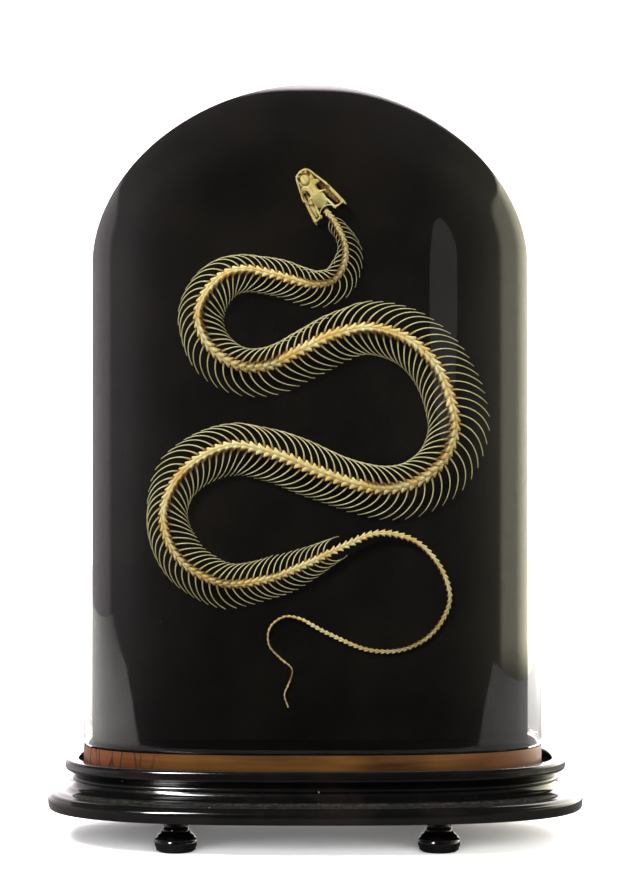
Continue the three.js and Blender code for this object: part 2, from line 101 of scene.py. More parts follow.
def meshFrom(bm, name):
    mesh = bpy.data.meshes.new(name)
    bm.to_mesh(mesh)
    bm.free()
    return mesh


def placeObject(name, data):
    placed = bpy.data.objects.new(name, data)
    bpy.context.scene.collection.objects.link(placed)
    return placed


def addPiece(name, bm, material, replaced, smoothAngle, levels=0):
    bmesh.ops.remove_doubles(bm, verts=bm.verts, dist=1e-6)
    for face in bm.faces:
        face.smooth = True
    for edge in bm.edges:
        if len(edge.link_faces) == 2:
            edge.smooth = edge.calc_face_angle(0) < math.radians(smoothAngle)
    piece = placeObject(name, meshFrom(bm, name))
    piece.data.materials.append(material)
    if levels:
        subdivision = piece.modifiers.new("rounding", "SUBSURF")
        subdivision.levels = levels
        subdivision.render_levels = levels
    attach(piece, "root")
    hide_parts(*replaced)
    return piece


def ringEdges(ring):
    inRing = set(ring)
    return list({e for v in ring for e in v.link_edges if all(w in inRing for w in e.verts)})


# a ring is extruded from frame to frame, and both ends are closed
def sweep(bm, frames, sides):
    ring = bmesh.ops.create_circle(bm, segments=sides, radius=1, matrix=frames[0])["verts"]
    everyVert = list(ring)
    edges = ringEdges(ring)
    bmesh.ops.contextual_create(bm, geom=edges)
    for before, after in zip(frames, frames[1:]):
        made = bmesh.ops.extrude_edge_only(bm, edges=edges)["geom"]
        ring = [v for v in made if isinstance(v, bmesh.types.BMVert)]
        edges = ringEdges(ring)
        bmesh.ops.transform(bm, matrix=after @ before.inverted(), verts=ring)
        everyVert += ring
    bmesh.ops.contextual_create(bm, geom=edges)
    faces = list({f for v in everyVert for f in v.link_faces})
    bmesh.ops.recalc_face_normals(bm, faces=faces)
    return everyVert


def frameAt(place, along, across, halfWidth, halfHeight):
    ahead = along.normalized()
    side = (across - ahead * across.dot(ahead)).normalized()
    up = ahead.cross(side)
    turn = Matrix((side, up, ahead)).transposed().to_4x4()
    return Matrix.Translation(place) @ turn @ Matrix.Diagonal((halfWidth, halfHeight, 1, 1))


def valueAt(rows, place):
    if place <= rows[0][0]:
        return rows[0][1]
    for (x0, y0), (x1, y1) in zip(rows, rows[1:]):
        if place <= x1:
            return y0 + (y1 - y0) * (place - x0) / (x1 - x0)
    return rows[-1][1]


def smoothStep(low, high, value):
    t = min(1.0, max(0.0, (value - low) / (high - low)))
    return t * t * (3 - 2 * t)


# in mm, level, looking along +Y
cameraView = {"place": (3.0, -1590.0, 257.5), "lens": 101.6, "sensor": 36.0}


def makeCamera():
    data = bpy.data.cameras.new("camera")
    data.lens = cameraView["lens"]
    data.sensor_width = cameraView["sensor"]
    data.clip_start = 0.05
    data.clip_end = 50
    camera = placeObject("camera", data)
    camera.location = Vector(cameraView["place"]) * mm
    camera.rotation_euler = (math.radians(90), 0, 0)
    bpy.context.scene.camera = camera


makeCamera()
bpy.context.scene.view_settings.view_transform = "Standard"
print("camera placed")


bones = {
    # bare bone, bone with a film left on it, dried tissue together with painted shade in the hollows, and
    # see-through bone; mottle in mm
    "skull": {"pale": "#f4e8aa", "deep": "#d3ba70", "stainAndShade": "#5a3a10", "thin": "#b3a768", "mottle": 2.5,
              "relief": 0.25},
    "column": {"pale": "#fff2b6", "deep": "#f3cf7e", "stainAndShade": "#5f3d12", "thin": "#9a8f4c", "mottle": 3.0,
               "relief": 0.3},
    "rib": {"pale": "#f6f0c0", "deep": "#dfd69c", "stainAndShade": "#94651f", "thin": "#9a8f4c", "mottle": 2.0,
            "relief": 0.12},
}


# dry degreased bone: matt to satin, cream, darker where dried tissue is left and where shade is painted into
# the hollows
def makeBone(kind):
    look = bones[kind]
    material, tree, shader, _ = newMaterial("dry bone of the " + kind)
    place = objectPoint(tree, inMm)
    broad = addNode(tree, "TexNoise", Vector=place, Scale=1 / look["mottle"] / 4, Detail=3.0)
    fine = addNode(tree, "TexNoise", Vector=place, Scale=1 / look["mottle"] * 2, Detail=4.0)
    pores = addNode(tree, "TexVoronoi", Vector=place, Scale=2.2)
    patches = addNode(tree, "ValToRGB", stops=[(0.38, 0.0), (0.66, 1.0)], Fac=broad)
    base = addNode(tree, "Mix", rgba, i0=patches, i6=look["pale"], i7=look["deep"])
    grain = addNode(tree, "ValToRGB", stops=[(0.3, 0.82), (0.7, 1.0)], Fac=fine)
    base = addNode(tree, "Mix", {**rgba, "blend_type": "MULTIPLY"}, i0=1.0, i6=base, i7=grain)
    # this attribute holds dried tissue and painted shade of hollows, gaps and undersides
    stainAndShade = addNode(tree, "Attribute", {"attribute_name": "stainAndShade"}).outputs["Fac"]
    blotch = addNode(tree, "Math", {"operation": "MULTIPLY_ADD"}, i0=fine, i1=0.5, i2=-0.25)
    blotchedStainAndShade = addNode(tree, "Math", {"operation": "MULTIPLY_ADD", "use_clamp": True},
                      i0=stainAndShade, i1=1.35, i2=blotch)
    kept = addNode(tree, "Math", {"operation": "MULTIPLY", "use_clamp": True}, i0=blotchedStainAndShade, i1=stainAndShade)
    base = addNode(tree, "Mix", rgba, i0=kept, i6=base, i7=look["stainAndShade"])
    veil = addNode(tree, "Attribute", {"attribute_name": "veil"}).outputs["Fac"]
    base = addNode(tree, "Mix", rgba, i0=veil, i6=base, i7=look["thin"])
    rough = addNode(tree, "ValToRGB", stops=[(0.3, 0.38), (0.75, 0.58)], Fac=fine)
    height = addNode(tree, "Math", {"operation": "MULTIPLY_ADD"}, i0=pores, i1=-0.4, i2=fine)
    bump = addNode(tree, "Bump", Height=height, Strength=look["relief"], Distance=0.0002)
    feed(shader, Base_Color=base, Roughness=rough, Normal=bump, IOR=1.53, Subsurface_Weight=0.12,
         Subsurface_Radius=(0.0012, 0.0008, 0.0004), Subsurface_Scale=1.0)
    return material


lacquerLook = {
    "black": "#030303", "worn": "#0b0807", "dust": "#8d8a84", "speckMm": 13.0, "orangePeelMm": 14.0,
}


# french-polished black lacquer on turned wood: deep, glossy, a little wavy, with dust
def makeLacquer():
    look = lacquerLook
    material, tree, shader, _ = newMaterial("black lacquered wood")
    place = objectPoint(tree, inMm)
    wave = addNode(tree, "TexNoise", Vector=place, Scale=1 / look["orangePeelMm"], Detail=2.0)
    wear = addNode(tree, "TexNoise", Vector=place, Scale=0.03, Detail=6.0)
    grit = addNode(tree, "TexNoise", Vector=place, Scale=0.35, Detail=8.0, Roughness=0.75)
    cells = addNode(tree, "TexVoronoi", Vector=place, Scale=1 / look["speckMm"])
    specks = addNode(tree, "ValToRGB", stops=[(0.022, 0.8), (0.042, 0.0)], Fac=cells)
    worn = addNode(tree, "ValToRGB", stops=[(0.45, 0.0), (0.72, 1.0)], Fac=wear)
    base = addNode(tree, "Mix", rgba, i0=worn, i6=look["black"], i7=look["worn"])
    normal = addNode(tree, "NewGeometry").outputs["Normal"]
    upward = addNode(tree, "SeparateXYZ", Vector=normal).outputs["Z"]
    flat = addNode(tree, "ValToRGB", stops=[(0.9, 0.0), (0.99, 0.12)], Fac=upward)
    settled = addNode(tree, "ValToRGB", stops=[(0.4, 0.1), (0.75, 1.0)], Fac=grit)
    dust = addNode(tree, "Math", {"operation": "MAXIMUM"}, i0=multiplied(tree, flat, settled), i1=specks)
    base = addNode(tree, "Mix", rgba, i0=dust, i6=base, i7=look["dust"])
    gloss = addNode(tree, "ValToRGB", stops=[(0.35, 0.09), (0.8, 0.2)], Fac=grit)
    rough = addNode(tree, "Math", {"operation": "MAXIMUM"}, i0=gloss, i1=dust)
    bump = addNode(tree, "Bump", Height=wave, Strength=0.12, Distance=0.0006)
    feed(shader, Base_Color=base, Roughness=rough, Normal=bump, IOR=1.45)
    return material


woodLook = {
    "light": "#65431c", "dark": "#35210e", "red": "#7a3c22", "crack": "#1d0e06", "black": "#070606",
    "crackMm": 9.0,
}


# golden brown softwood edge, redder at its ends and cracked at the left one, its top painted black
def makeSoftwood():
    look = woodLook
    material, tree, shader, _ = newMaterial("stained softwood board")
    grain = addNode(tree, "TexNoise", Vector=objectPoint(tree, (12, 12, 200)), Scale=1.0, Detail=8.0,
                    Roughness=0.65, Distortion=0.6)
    cloud = addNode(tree, "TexNoise", Vector=objectPoint(tree, (22, 22, 30)), Scale=1.0, Detail=4.0)
    tone = addNode(tree, "Mix", rgba, i0=0.55, i6=grain, i7=cloud)
    base = addNode(tree, "ValToRGB", stops=[(0.36, look["dark"]), (0.64, look["light"])], Fac=tone)
    across = addNode(tree, "SeparateXYZ", Vector=objectPoint(tree)).outputs["X"]
    aside = addNode(tree, "Math", {"operation": "ABSOLUTE"}, i0=across)
    ends = addNode(tree, "MapRange", Value=aside, From_Min=0.085, From_Max=0.135, To_Min=0.0, To_Max=0.8)
    redder = addNode(tree, "Mix", rgba, i0=cloud, i6=base, i7=look["red"])
    base = addNode(tree, "Mix", rgba, i0=ends, i6=base, i7=redder)
    cells = addNode(tree, "TexVoronoi", {"feature": "DISTANCE_TO_EDGE"},
                    Vector=objectPoint(tree, (1000, 1000, 170)), Scale=1 / look["crackMm"])
    split = addNode(tree, "ValToRGB", stops=[(0.01, 1.0), (0.06, 0.0)], Fac=cells)
    leftEnd = addNode(tree, "MapRange", Value=across, From_Min=-0.118, From_Max=-0.09, To_Min=0.85,
                      To_Max=0.0)
    cracked = multiplied(tree, split, leftEnd)
    base = addNode(tree, "Mix", rgba, i0=cracked, i6=base, i7=look["crack"])
    normal = addNode(tree, "NewGeometry").outputs["Normal"]
    upward = addNode(tree, "SeparateXYZ", Vector=normal).outputs["Z"]
    painted = addNode(tree, "ValToRGB", stops=[(0.5, 0.0), (0.8, 1.0)], Fac=upward)
    base = addNode(tree, "Mix", rgba, i0=painted, i6=base, i7=look["black"])
    waxed = addNode(tree, "ValToRGB", stops=[(0.3, 0.42), (0.7, 0.6)], Fac=grain)
    rough = addNode(tree, "Mix", rgba, i0=painted, i6=waxed, i7=(0.95, 0.95, 0.95, 1))
    sheen = addNode(tree, "ValToRGB", stops=[(0.5, 0.3), (0.8, 0.03)], Fac=upward)
    height = addNode(tree, "Math", {"operation": "MULTIPLY_ADD"}, i0=cracked, i1=-3.0, i2=grain)
    bump = addNode(tree, "Bump", Height=height, Strength=0.35, Distance=0.0004)
    feed(shader, Base_Color=base, Roughness=rough, Specular_IOR_Level=sheen, Normal=bump)
    return material


clothLook = {"black": "#0b0a09", "thread": "#171411", "lint": "#5c5a58", "threadMm": 0.5, "lintMm": 38}


# black cotton velvet stretched over a board: it swallows light, with a faint nap and lint
def makeCloth():
    look = clothLook
    material, tree, shader, _ = newMaterial("black cotton cloth")
    place = objectPoint(tree, inMm)
    threads = {"Vector": place, "Scale": 1 / look["threadMm"] / 6.28, "Distortion": 0.6, "Detail": 2.0}
    warp = addNode(tree, "TexWave", {"bands_direction": "X"}, **threads).outputs[1]
    weft = addNode(tree, "TexWave", {"bands_direction": "Z"}, **threads).outputs[1]
    weave = addNode(tree, "Math", {"operation": "ADD"}, i0=warp, i1=weft)
    nap = addNode(tree, "TexNoise", Vector=place, Scale=0.02, Detail=4.0)
    brushed = addNode(tree, "ValToRGB", stops=[(0.35, 0.0), (0.7, 1.0)], Fac=nap)
    base = addNode(tree, "Mix", rgba, i0=brushed, i6=look["black"], i7=look["thread"])
    cells = addNode(tree, "TexVoronoi", Vector=place, Scale=1 / look["lintMm"])
    lint = addNode(tree, "ValToRGB", stops=[(0.008, 1.0), (0.014, 0.0)], Fac=cells)
    base = addNode(tree, "Mix", rgba, i0=lint, i6=base, i7=look["lint"])
    bump = addNode(tree, "Bump", Height=weave, Strength=0.15, Distance=0.0001)
    feed(shader, Base_Color=base, Roughness=0.95, Specular_IOR_Level=0.15, Sheen_Weight=0.05,
         Sheen_Roughness=0.4, Normal=bump)
    return material


# hand-blown dome glass: clear, thin, a little wavy; lamps shine through it
def makeGlass():
    material, tree, shader, output = newMaterial("blown clear glass")
    wave = addNode(tree, "TexNoise", Vector=objectPoint(tree, (5, 5, 1.6)), Scale=1.0, Detail=1.0)
    bump = addNode(tree, "Bump", Height=wave, Strength=0.05, Distance=0.004)
    feed(shader, Base_Color="#fdfefd", Roughness=0.0, IOR=1.5, Transmission_Weight=1.0,
         Normal=bump)
    clear = addNode(tree, "BsdfTransparent", Color=(0.93, 0.94, 0.93, 1))
    shadowRay = addNode(tree, "LightPath").outputs["Is Shadow Ray"]
    feed(output, Surface=addNode(tree, "MixShader", i0=shadowRay, i1=shader, i2=clear))
    return material


skullBone = makeBone("skull")
columnBone = makeBone("column")
ribBone = makeBone("rib")
blackLacquer = makeLacquer()
softwood = makeSoftwood()
blackCloth = makeCloth()
domeGlass = makeGlass()
print("materials made")


# the plinth, the board and the glass share one oval plan, squarer than an ellipse
ovalPower = 2.8
ovalSides = 160


def rounded(value, power):
    return math.copysign(abs(value) ** (2 / power), value)


def spinLine(bm, places, steps):
    line = [bm.verts.new(place) for place in places]
    edges = [bm.edges.new(pair) for pair in zip(line, line[1:])]
    bmesh.ops.spin(bm, geom=line + edges, cent=(0, 0, 0), axis=(0, 0, 1), angle=2 * math.pi, steps=steps,
                   use_merge=True)


# a profile of [half width, half depth, height] rows is spun, then pressed into the oval
def spinOval(profile, shiftX=0.0):
    bm = bmesh.new()
    spinLine(bm, [(0, -1 - i, 0) for i in range(len(profile))], ovalSides)
    for vert in bm.verts:
        halfWidth, halfDepth, height = profile[round(math.hypot(vert.co.x, vert.co.y)) - 1]
        angle = math.atan2(vert.co.x, -vert.co.y)
        x = halfWidth * rounded(math.sin(angle), ovalPower) + shiftX
        y = -halfDepth * rounded(math.cos(angle), ovalPower)
        vert.co = Vector((x, y, height)) * mm
    bmesh.ops.remove_doubles(bm, verts=bm.verts, dist=1e-6)
    bmesh.ops.recalc_face_normals(bm, faces=bm.faces)
    return bm


# arc of a moulding from one row to another, bulging by a share of its chord
def moulded(rows, steps=6):
    made = [rows[0][:2]]
    for (x0, z0, _), (x1, z1, bulge) in zip(rows, rows[1:]):
        for i in range(1, steps + 1 if bulge else 2):
            t = i / steps if bulge else 1
            lift = bulge * 4 * t * (1 - t)
            made.append((x0 + (x1 - x0) * t - (z1 - z0) * lift, z0 + (z1 - z0) * t + (x1 - x0) * lift))
    return made


plinth = {
    "halfWidth": 171.4, "halfDepth": 98.4,
    # inset from the widest line, height, bulge of the arc that ends there
    "rows": [(2.0, 21.0, 0), (1.0, 21.2, 0.1), (0.2, 23.0, 0.1), (0.0, 27.0, 0), (1.2, 29.0, 0.14),
             (4.6, 31.2, 0.12), (9.5, 32.6, 0.04), (13.5, 34.6, -0.05), (16.4, 37.2, -0.08),
             (16.8, 38.6, 0), (15.4, 39.8, 0.22), (15.4, 40.8, 0.1), (16.6, 42.0, 0.1), (13.6, 44.6, -0.06),
             (11.4, 46.0, 0.06), (11.1, 47.6, 0.1), (11.1, 50.2, 0), (11.7, 51.4, 0.12), (12.6, 52.0, 0.12),
             (19.0, 52.0, 0), (19.5, 51.4, 0.12), (19.5, 43.0, 0)],
}


def makePlinth():
    outline = moulded(plinth["rows"])
    profile = [(0.0, 0.0, 21.0)]
    for inset, height in outline:
        inset = max(0.0, inset)
        profile.append((plinth["halfWidth"] - inset, plinth["halfDepth"] - inset, height))
    profile.append((0.0, 0.0, 43.0))
    return addPiece("ebonisedPlinth", spinOval(profile), blackLacquer, ["plinth"], 35)


board = {"halfWidth": 147.0, "halfDepth": 75.2, "bottom": 43.3, "top": 60.8, "round": 0.7, "shiftX": -1.7}


def makeBoard():
    low, high, edge = board["bottom"], board["top"], board["round"]
    rows = [(low, 0), (low + edge, 0), (high - edge, 0), (high - 0.3 * edge, 0.3 * edge), (high, edge)]
    profile = [(0.0, 0.0, low)]
    for height, inset in rows:
        profile.append((board["halfWidth"] - inset, board["halfDepth"] - inset, height))
    profile.append((0.0, 0.0, high))
    return addPiece("mountBoard", spinOval(profile, board["shiftX"]), softwood, ["board"], 30)


dome = {
    "halfWidth": 147.3, "halfDepth": 75.5, "top": 489.8, "riseFront": 119.0, "riseSide": 84.0,
    "archPower": 1.9, "thickness": 2.0, "bottom": 61.1, "shiftX": -1.7, "wallRings": 10, "archRings": 40,
}


def domeRow(height, inset):
    row = []
    for half, rise in ((dome["halfWidth"], dome["riseFront"]), (dome["halfDepth"], dome["riseSide"])):
        above = max(0.0, height - (dome["top"] - rise)) / (rise - inset)
        share = max(0.0, 1 - above ** dome["archPower"]) ** (1 / dome["archPower"])
        row.append((half - inset) * share)
    return (*row, height)


def domeWall(inset):
    top = dome["top"] - inset
    spring = dome["top"] - dome["riseFront"]
    low = dome["bottom"] + 1.5
    count = dome["wallRings"]
    rows = [domeRow(low + (spring - low) * (i / count) ** 2, inset) for i in range(count)]
    count = dome["archRings"]
    rows += [domeRow(spring + (top - spring) * math.sin(i / count * math.pi / 2), inset)
             for i in range(count)]
    return rows + [(0.0, 0.0, top)]


def makeDome():
    inner = domeWall(dome["thickness"])[::-1]
    rim = [domeRow(dome["bottom"] + 0.3, inset) for inset in (2.4, 0.6)]
    profile = inner + rim + domeWall(0.0)
    return addPiece("glassDome", spinOval(profile, dome["shiftX"]), domeGlass, ["dome"], 60)


panel = {
    "halfWidth": 141.0, "shiftX": -3.6, "bottom": 61.1, "spring": 369.0, "rise": 115.6, "front": -4.0,
    "thickness": 6.0, "archPower": 1.9, "sides": 128,
}


# the lower half of a circle is pressed into a box, its upper half into the arch
def makePanel():
    bm = bmesh.new()
    bmesh.ops.create_circle(bm, cap_ends=True, segments=panel["sides"], radius=1)
    power = panel["archPower"]
    for vert in bm.verts:
        across, up = vert.co.x, vert.co.y
        if up > -1e-4:
            x = rounded(across, power)
            z = panel["spring"] + panel["rise"] * rounded(max(0.0, up), power)
        else:
            x = max(-1.0, min(1.0, across * math.sqrt(2)))
            z = panel["spring"] - (panel["spring"] - panel["bottom"]) * min(1.0, -up * math.sqrt(2))
        vert.co = Vector((panel["halfWidth"] * x + panel["shiftX"], panel["front"], z)) * mm
    made = bmesh.ops.extrude_face_region(bm, geom=list(bm.faces))["geom"]
    back = [v for v in made if isinstance(v, bmesh.types.BMVert)]
    bmesh.ops.translate(bm, vec=(0, panel["thickness"] * mm, 0), verts=back)
    bmesh.ops.recalc_face_normals(bm, faces=bm.faces)
    sharp = [e for e in bm.edges if e.calc_face_angle(0) > math.radians(60)]
    bmesh.ops.bevel(bm, geom=sharp, offset=0.8 * mm, offset_type="OFFSET", affect="EDGES", segments=3,
                    profile=0.5, material=-1)
    return addPiece("clothPanel", bm, blackCloth, ["panel"], 40)


foot = {
    "rows": [(10.8, 0.0, 0), (12.3, 1.0, 0.2), (13.1, 3.6, 0.1), (13.1, 6.6, 0), (12.8, 8.2, 0.1),
             (11.7, 9.6, 0.1), (9.9, 11.0, -0.04), (8.5, 12.8, -0.08), (7.6, 15.4, -0.06), (7.3, 18.0, -0.03),
             (7.4, 20.7, 0)],
    "places": {"front_left": (-86.5, -62.0), "front_right": (76.9, -62.0),
               "back_left": (-86.5, 62.0), "back_right": (76.9, 62.0)},
    "sides": 48,
}


def makeFeet():
    outline = [(0.0, 0.0)] + moulded(foot["rows"], 5) + [(0.0, 20.7)]
    for name, (x, y) in foot["places"].items():
        bm = bmesh.new()
        spinLine(bm, [(radius * mm, 0, height * mm) for radius, height in outline], foot["sides"])
        bmesh.ops.remove_doubles(bm, verts=bm.verts, dist=1e-6)
        bmesh.ops.recalc_face_normals(bm, faces=bm.faces)
        bmesh.ops.translate(bm, vec=(x * mm, y * mm, 0), verts=bm.verts)
        yield addPiece("turnedFoot_" + name, bm, blackLacquer, ["foot_" + name], 40)


lacquered = [makePlinth(), *makeFeet()]
makeBoard()
makeDome()
makePanel()
print("plinth, board, dome, panel and feet made")


# the line of the body runs from the first vertebra to the tip of the tail, in mm
body = {
    "route": [
        (6.4, 402.4), (11.7, 395.5), (18.8, 380), (18.3, 368), (12, 357.8), (0.5, 354.9),
        (-12, 357), (-30, 361.8), (-45, 364.2), (-58, 361), (-70, 349), (-74.8, 335),
        (-71.5, 321.5), (-63, 310.6), (-48, 302.5), (-30, 303), (-10, 312.2), (12, 322.5),
        (36, 326.5), (60, 319), (76.5, 303), (86.5, 280), (88.8, 260), (80, 240), (64, 228),
        (46, 224), (26, 226.7), (0, 235.6), (-26, 246), (-51.5, 251.2), (-71, 245),
        (-88, 230.5), (-97, 210), (-94.5, 192), (-85, 177), (-72, 168), (-57, 163),
        (-30, 166), (-5, 175.7), (18.5, 187), (41, 195.1), (64.2, 189.7), (80.4, 172.6),
        (86.4, 153.5), (81.4, 138.9), (70.3, 126.8), (54.3, 119.8), (34.2, 120), (6, 131.5),
        (-10, 139.8), (-20, 141), (-29, 134.2), (-29.7, 123.2), (-21.6, 113.7), (-15.1, 107.1),
        (-17.5, 97.2), (-19.8, 90.8), (-17.4, 82.8),
    ],
    "vertebraLengths": [(0, 3.1), (60, 4.5), (150, 5.2), (260, 5.4), (560, 5.3), (744, 4.3), (945, 3.4),
                        (1046, 2.9)],
    "halfWidths": [(0, 1.9), (40, 2.3), (80, 2.7), (150, 3.3), (260, 3.6), (510, 3.6), (600, 3),
                   (744, 2.3), (810, 1.7), (894, 1.35), (960, 1.1), (1000, 0.8), (1046, 0.5)],
    "lifts": [(0, 7.6), (60, 8.5), (150, 11), (600, 11), (744, 8.5), (830, 3.4), (920, 2.2), (1046, 1.2)],
    "ribbed": 744, "ribFree": 2, "neck": 50, "trunkCuts": [140, 245, 370, 485, 600], "tailCuts": [835, 930],
    "rollRadius": 18,
}
ribs = {
    "lengths": [(0, 9), (48, 18), (150, 20), (280, 25), (520, 24), (650, 20), (744, 14)],
    "left": [(0, 5.1), (13, 3.4), (22, 3.8), (32, 7), (51, 7), (70, 10.9), (89, 8.3), (115, 12.8),
             (147, 14), (166, 17.9), (211, 20.4), (243, 19.8), (259, 16.6), (358, 16.6), (409, 12.8),
             (460, 14), (479, 16), (517, 14), (568, 16.6), (594, 10.2), (632, 14.7), (667, 17.2),
             (690, 13.4), (709, 13.4), (744, 6.4)],
    "right": [(0, 3.4), (19, 10.9), (48, 15.3), (70, 12.8), (137, 16.6), (175, 11.5), (217, 9),
              (243, 11.5), (265, 17.9), (345, 23.6), (410, 22.3), (450, 18.3), (530, 19.2), (578, 14),
              (623, 16.6), (670, 12.1), (699, 13.4), (744, 6.4)],
    # a rib is an arc; on the outside of a loop it bends less and spreads more
    "leastBend": math.radians(8), "bendShare": 0.55, "outsideSpread": 0.35, "shares": (0.3, 0.97),
    "tipLift": 0.9, "plunge": math.radians(80),
    "radii": [(0, 1.05), (0.07, 0.85), (0.16, 0.46), (0.8, 0.36), (1, 0.24)],
    "slender": [(0, 0.5), (60, 0.66), (150, 0.95), (650, 0.95), (744, 0.75)],
    "rings": 10, "sides": 6,
}


# the same centripetal curve as the solids follow, sampled and measured along its length
def sampleRoute(points, perSpan=40):
    route = [Vector((x, 0, z)) for x, z in points]
    padded = [2 * route[0] - route[1]] + route + [2 * route[-1] - route[-2]]
    made = []
    for i in range(len(route) - 1):
        p0, p1, p2, p3 = padded[i:i + 4]
        d0, d1, d2 = (math.sqrt((b - a).length) for a, b in ((p0, p1), (p1, p2), (p2, p3)))
        t1 = ((p1 - p0) / d0 - (p2 - p0) / (d0 + d1) + (p2 - p1) / d1) * d1
        t2 = ((p2 - p1) / d1 - (p3 - p1) / (d1 + d2) + (p3 - p2) / d2) * d1
        for k in range(perSpan):
            t = k / perSpan
            made.append(p1 + t1 * t + (3 * (p2 - p1) - 2 * t1 - t2) * t ** 2
                        + (2 * (p1 - p2) + t1 + t2) * t ** 3)
    return made + [route[-1]]


samples = sampleRoute(body["route"])
lengths = [0.0]
for a, b in zip(samples, samples[1:]):
    lengths.append(lengths[-1] + (b - a).length)
bodyLength = lengths[-1]


def routeAt(distance):
    distance = min(bodyLength - 1e-6, max(0.0, distance))
    low, high = 0, len(lengths) - 1
    while high - low > 1:
        middle = (low + high) // 2
        low, high = (middle, high) if lengths[middle] <= distance else (low, middle)
    share = (distance - lengths[low]) / (lengths[high] - lengths[low])
    return samples[low].lerp(samples[high], share)


def headingAt(distance):
    low = max(0.0, min(bodyLength - 1, distance - 0.5))
    return (routeAt(low + 1) - routeAt(low)).normalized()


def bendAt(distance):
    before, after = headingAt(distance - 6), headingAt(distance + 6)
    return (before.x * after.z - before.z * after.x) / 12


# a point by its distance along the body, offset to the animal's left and height over the column
def bodyPoint(distance, leftward, height):
    place = routeAt(distance)
    heading = headingAt(distance)
    place.x += leftward * heading.z
    place.z -= leftward * heading.x
    place.y = panel["front"] - valueAt(body["lifts"], distance) - height
    return place


def columnPoint(distance, leftward, height):
    roll = math.atan(body["rollRadius"] * bendAt(distance))
    sideways = leftward * math.cos(roll) + height * math.sin(roll)
    upwards = height * math.cos(roll) - leftward * math.sin(roll)
    return bodyPoint(distance, sideways, upwards)


joints = [0.0]
while joints[-1] + 2 < bodyLength:
    joints.append(min(bodyLength, joints[-1] + valueAt(body["vertebraLengths"], joints[-1])))


def jointNear(distance):
    return next(i for i, place in enumerate(joints) if place >= distance)


print("body line", round(bodyLength), "mm long,", len(joints) - 1, "vertebrae")


# one vertebra, in its own axes: x left, y towards the tail from 0 to 1, z to the back
vertebra = {
    # place, half width of the roof and its wings, lift of the wings
    "rings": [(-0.34, 0.64, -0.12), (-0.1, 0.67, -0.03), (0.1, 0.74, 0.02), (0.2, 1.02, 0.05),
              (0.27, 1.34, 0.1), (0.44, 1.2, 0.13), (0.62, 0.9, 0.12), (0.84, 0.62, 0.04)],
    # sides of a ring, as share of the half width or fixed distance, and height
    "section": [(1.0, 0, 0.04), (0.78, 0, 0.34), (0.36, 0, 0.5), (0, 0.12, 0.4), (0, 0.0, 0.52),
                (0, 0.12, 0.4), (0.36, 0, 0.5), (0.78, 0, 0.34), (1.0, 0, 0.04), (0.7, 0, -0.12),
                (0, 0.5, -0.28), (0, 0.36, -0.62), (0, 0.0, -0.76), (0, 0.36, -0.62), (0, 0.5, -0.28),
                (0.7, 0, -0.12)],
    "sweepBack": 0.66,
    "wingFront": {"out": 0.66, "back": -0.12, "thin": 0.5},
}


def facesToward(bm, low, high, angle, width):
    found = []
    for face in bm.faces:
        middle = face.calc_center_median()
        normal = face.normal
        if abs(normal.y) > 0.8 or not low < middle.y < high:
            continue
        facing = math.degrees(math.atan2(normal.z, normal.x)) % 360
        if abs((facing - angle + 180) % 360 - 180) < width:
            found.append(face)
    return found


def pull(bm, faces, move, scale):
    if not faces:
        return
    made = bmesh.ops.extrude_face_region(bm, geom=faces)["geom"]
    bmesh.ops.delete(bm, geom=faces, context="FACES")
    verts = [v for v in made if isinstance(v, bmesh.types.BMVert)]
    middle = sum((v.co for v in verts), Vector()) / len(verts)
    bmesh.ops.scale(bm, vec=scale, verts=verts, space=Matrix.Translation(-middle))
    bmesh.ops.translate(bm, vec=move, verts=verts)


def makeVertebra(wingShare):
    bm = bmesh.new()
    section = vertebra["section"]
    frames = [frameAt(Vector((0, i, 0)), Vector((0, 1, 0)), Vector((1, 0, 0)), 1, 1)
              for i in range(len(vertebra["rings"]))]
    sweep(bm, frames, len(section))
    for vert in bm.verts:
        place, halfWidth, lift = vertebra["rings"][round(vert.co.y)]
        turn = round(math.degrees(math.atan2(vert.co.z, vert.co.x)) % 360 / 360 * len(section))
        share, fixed, height = section[turn % len(section)]
        across = (share * halfWidth * (wingShare if halfWidth > 0.7 else 1)) or fixed
        side = math.copysign(1, vert.co.x) if abs(vert.co.x) > 1e-4 else 0
        raised = lift if height > 0 else 0.4 * lift
        vert.co = Vector((side * across, place + vertebra["sweepBack"] * across, height + raised))
    front = vertebra["wingFront"]
    for side in (1, -1):
        bm.normal_update()
        pull(bm, facesToward(bm, 0.1, 0.42, 315 if side > 0 else 225, 30),
             (side * front["out"] * wingShare, front["back"], 0.12), (0.6, 0.4, front["thin"]))
    bmesh.ops.recalc_face_normals(bm, faces=bm.faces)
    return meshFrom(bm, "vertebraShape")


# painted shade lies in the gap before each wing, where the wing ahead overlaps it, under the arch and along
# the spine's shaded flank
def paintedShadeOf(y, x, z):
    overlapShade = smoothStep(0.2, 0.05, y - vertebra["sweepBack"] * abs(x)) * smoothStep(0.45, 0.66, abs(x))
    underShade = smoothStep(0.0, -0.3, z)
    spineShadow = smoothStep(0.26, 0.06, abs(x))
    return max(0.9 * overlapShade, 0.9 * underShade, 0.6 * spineShadow)


# each bone gets an attribute for dried tissue and painted shade
def startBone():
    bm = bmesh.new()
    return bm, bm.verts.layers.float.new("stainAndShade")


